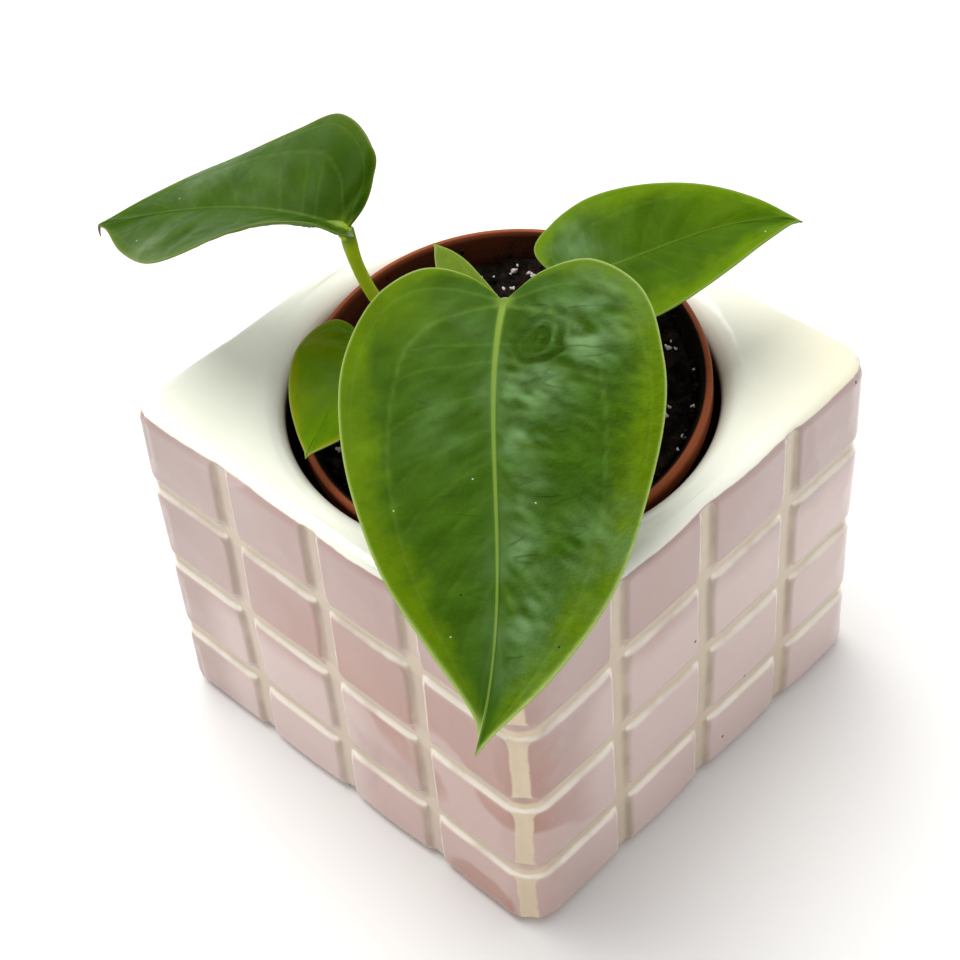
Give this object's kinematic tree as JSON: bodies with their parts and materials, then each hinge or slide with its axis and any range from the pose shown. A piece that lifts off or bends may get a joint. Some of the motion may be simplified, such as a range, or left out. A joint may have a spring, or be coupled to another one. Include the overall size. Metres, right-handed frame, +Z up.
{
  "type": "potted king anthurium",
  "caption": "Young king anthurium with heart-shaped leaves in a brown nursery pot, standing in a square cream and lilac tiled ceramic cover pot.",
  "frame": {"origin": "centre of the cover pot's flat underside, on the surface that it stands on", "axes": "+Z up, square to the underside; +X and -Y each square to one of the two tiled sides that meet at the corner under the largest leaf"},
  "size_m": [0.1216, 0.106, 0.1129],
  "materials": {
    "ceramic_glaze": "gloss",
    "pot_plastic": "satin",
    "potting_mix": "matte",
    "sheath": "matte",
    "leaf_stalk": "satin",
    "leaf_green": "satin",
    "leaf_pale": "satin"
  },
  "bodies": {
    "root": {"cover_pot": "ceramic_glaze", "nursery_pot": "pot_plastic", "soil": "potting_mix", "crown_stem": "sheath", "petiole_front": "leaf_stalk", "petiole_left": "leaf_stalk", "petiole_right": "leaf_stalk", "petiole_small": "leaf_stalk", "petiole_young": "leaf_stalk", "blade_front": "leaf_green", "blade_left": "leaf_green", "blade_right": "leaf_green", "blade_small": "leaf_green", "blade_young": "leaf_pale"}
  },
  "joints": []
}
